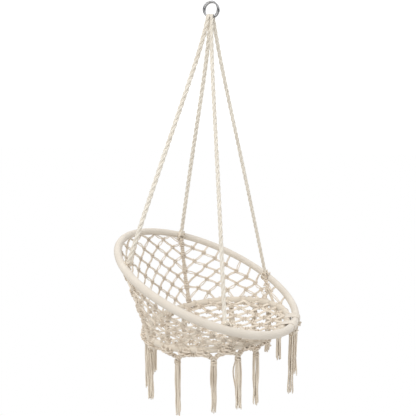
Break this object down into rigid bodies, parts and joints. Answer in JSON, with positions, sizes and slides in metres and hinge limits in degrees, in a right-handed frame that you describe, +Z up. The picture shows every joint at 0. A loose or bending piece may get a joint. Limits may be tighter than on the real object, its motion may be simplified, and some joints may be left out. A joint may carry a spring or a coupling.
{
  "type": "hanging hammock chair",
  "caption": "Hanging chair: a knotted cotton net bucket between a large leaning ring and a smaller seat ring, hung by ropes from steel rings, with a tasselled skirt.",
  "frame": {"origin": "where a hook bears inside the top of the right hanging ring, in the centre plane", "axes": "+Z up along the hanging line; the sitter faces -Y; +X is the sitter's left"},
  "size_m": [0.831, 0.771, 1.6108],
  "materials": {
    "polished_steel": "polished steel wire ring",
    "steel_tube": "round steel tube, hidden inside the cord wrapping",
    "cotton_rope": "natural cotton, three strands laid into a rope",
    "cotton_wrap": "natural cotton cord wound tightly round the tube",
    "cotton_net": "natural cotton cord, knotted in pairs",
    "cotton_knot": "natural cotton cord, pulled tight in knots",
    "cotton_tassel": "loose natural cotton cords"
  },
  "bodies": {
    "hanging_rings": {"hanging_ring_right": "polished_steel", "hanging_ring_left": "polished_steel"},
    "rope_bends": {"rope_bend_back": "cotton_rope", "rope_bend_front": "cotton_rope"},
    "ropes": {"rope_back_right": "cotton_rope", "rope_back_left": "cotton_rope", "rope_front_right": "cotton_rope", "rope_front_left": "cotton_rope"},
    "seat_frame": {"upper_ring_tube": "steel_tube", "upper_ring_wrap": "cotton_wrap", "hitch_back_right": "cotton_knot", "hitch_back_left": "cotton_knot", "hitch_front_right": "cotton_knot", "hitch_front_left": "cotton_knot", "column_back_right": "cotton_net", "column_back_left": "cotton_net", "column_front_right": "cotton_net", "column_front_left": "cotton_net", "net_back_right": "cotton_net", "net_back_left": "cotton_net", "net_side_right": "cotton_net", "net_side_left": "cotton_net", "net_front_right": "cotton_net", "net_front_left": "cotton_net", "lashing_right": "cotton_knot", "lashing_left": "cotton_knot"},
    "seat": {"seat_ring_tube": "steel_tube", "seat_ring_wrap": "cotton_wrap", "seat_net": "cotton_net", "skirt_back_right": "cotton_net", "skirt_back_left": "cotton_net", "skirt_front_right": "cotton_net", "skirt_front_left": "cotton_net"},
    "tassel_back": {"tassel_back": "cotton_tassel"},
    "tassel_right_1": {"tassel_right_1": "cotton_tassel"},
    "tassel_right_2": {"tassel_right_2": "cotton_tassel"},
    "tassel_right_3": {"tassel_right_3": "cotton_tassel"},
    "tassel_right_4": {"tassel_right_4": "cotton_tassel"},
    "tassel_right_5": {"tassel_right_5": "cotton_tassel"},
    "tassel_right_6": {"tassel_right_6": "cotton_tassel"},
    "tassel_left_1": {"tassel_left_1": "cotton_tassel"},
    "tassel_left_2": {"tassel_left_2": "cotton_tassel"},
    "tassel_left_3": {"tassel_left_3": "cotton_tassel"},
    "tassel_left_4": {"tassel_left_4": "cotton_tassel"},
    "tassel_left_5": {"tassel_left_5": "cotton_tassel"},
    "tassel_left_6": {"tassel_left_6": "cotton_tassel"},
    "tassel_front_right": {"tassel_front_right": "cotton_tassel"},
    "tassel_front_left": {"tassel_front_left": "cotton_tassel"}
  },
  "joints": [
    {"name": "swing_fore_aft", "type": "hinge", "parent": "hanging_rings", "child": "rope_bends", "pos_m": [0, -0.0009, -0.0271], "axis": [1, 0, 0], "range_deg": [-30, 30]},
    {"name": "sway_sideways", "type": "hinge", "parent": "rope_bends", "child": "ropes", "pos_m": [0, 0, -0.0544], "axis": [0, 1, 0], "range_deg": [-20, 20]},
    {"name": "turn_on_ropes", "type": "hinge", "parent": "ropes", "child": "seat_frame", "pos_m": [0, 0, -0.0544], "axis": [0, 0, 1], "range_deg": [-25, 25], "stiffness_Nm_per_rad": 0.2, "deforming": ["rope_back_right", "rope_back_left", "rope_front_right", "rope_front_left"]},
    {"name": "seat_fold", "type": "hinge", "parent": "seat_frame", "child": "seat", "pos_m": [0, -0.32819, -1.26868], "axis": [1, 0, 0], "range_deg": [0, 28], "deforming": ["column_back_right", "column_back_left", "column_front_right", "column_front_left", "net_back_right", "net_back_left", "net_side_right", "net_side_left", "net_front_right", "net_front_left"]},
    {"name": "tassel_back_swing", "type": "hinge", "parent": "seat", "child": "tassel_back", "pos_m": [0, 0.26819, -1.39372], "axis": [1, 0, 0], "range_deg": [-30, 30]},
    {"name": "tassel_right_1_swing", "type": "hinge", "parent": "seat", "child": "tassel_right_1", "pos_m": [-0.11238, 0.24647, -1.39132], "axis": [0.9272, 0.3746, 0], "range_deg": [-30, 30]},
    {"name": "tassel_right_2_swing", "type": "hinge", "parent": "seat", "child": "tassel_right_2", "pos_m": [-0.19682, 0.19505, -1.38565], "axis": [0.7547, 0.6561, 0], "range_deg": [-30, 30]},
    {"name": "tassel_right_3_swing", "type": "hinge", "parent": "seat", "child": "tassel_right_3", "pos_m": [-0.29231, 0.03708, -1.3682], "axis": [0.225, 0.9744, 0], "range_deg": [-30, 30]},
    {"name": "tassel_right_4_swing", "type": "hinge", "parent": "seat", "child": "tassel_right_4", "pos_m": [-0.28978, -0.10718, -1.35228], "axis": [-0.2588, 0.9659, 0], "range_deg": [-30, 30]},
    {"name": "tassel_right_5_swing", "type": "hinge", "parent": "seat", "child": "tassel_right_5", "pos_m": [-0.25302, -0.19022, -1.34311], "axis": [-0.5373, 0.8434, 0], "range_deg": [-30, 30]},
    {"name": "tassel_right_6_swing", "type": "hinge", "parent": "seat", "child": "tassel_right_6", "pos_m": [-0.2046, -0.24808, -1.33672], "axis": [-0.7314, 0.682, 0], "range_deg": [-30, 30]},
    {"name": "tassel_left_1_swing", "type": "hinge", "parent": "seat", "child": "tassel_left_1", "pos_m": [0.11238, 0.24647, -1.39132], "axis": [0.9272, -0.3746, 0], "range_deg": [-30, 30]},
    {"name": "tassel_left_2_swing", "type": "hinge", "parent": "seat", "child": "tassel_left_2", "pos_m": [0.19682, 0.19505, -1.38565], "axis": [0.7547, -0.6561, 0], "range_deg": [-30, 30]},
    {"name": "tassel_left_3_swing", "type": "hinge", "parent": "seat", "child": "tassel_left_3", "pos_m": [0.29927, -0.0092, -1.3631], "axis": [0.0698, -0.9976, 0], "range_deg": [-30, 30]},
    {"name": "tassel_left_4_swing", "type": "hinge", "parent": "seat", "child": "tassel_left_4", "pos_m": [0.28366, -0.12708, -1.35008], "axis": [-0.3256, -0.9455, 0], "range_deg": [-30, 30]},
    {"name": "tassel_left_5_swing", "type": "hinge", "parent": "seat", "child": "tassel_left_5", "pos_m": [0.24424, -0.20316, -1.34168], "axis": [-0.5807, -0.8141, 0], "range_deg": [-30, 30]},
    {"name": "tassel_left_6_swing", "type": "hinge", "parent": "seat", "child": "tassel_left_6", "pos_m": [0.19082, -0.26009, -1.3354], "axis": [-0.7716, -0.6361, 0], "range_deg": [-30, 30]},
    {"name": "tassel_front_right_swing", "type": "hinge", "parent": "seat_frame", "child": "tassel_front_right", "pos_m": [-0.04192, -0.35657, -1.30363], "axis": [-0.9945, 0.1048, 0], "range_deg": [-30, 30]},
    {"name": "tassel_front_left_swing", "type": "hinge", "parent": "seat_frame", "child": "tassel_front_left", "pos_m": [0.04192, -0.35657, -1.30363], "axis": [-0.9945, -0.1048, 0], "range_deg": [-30, 30]}
  ]
}
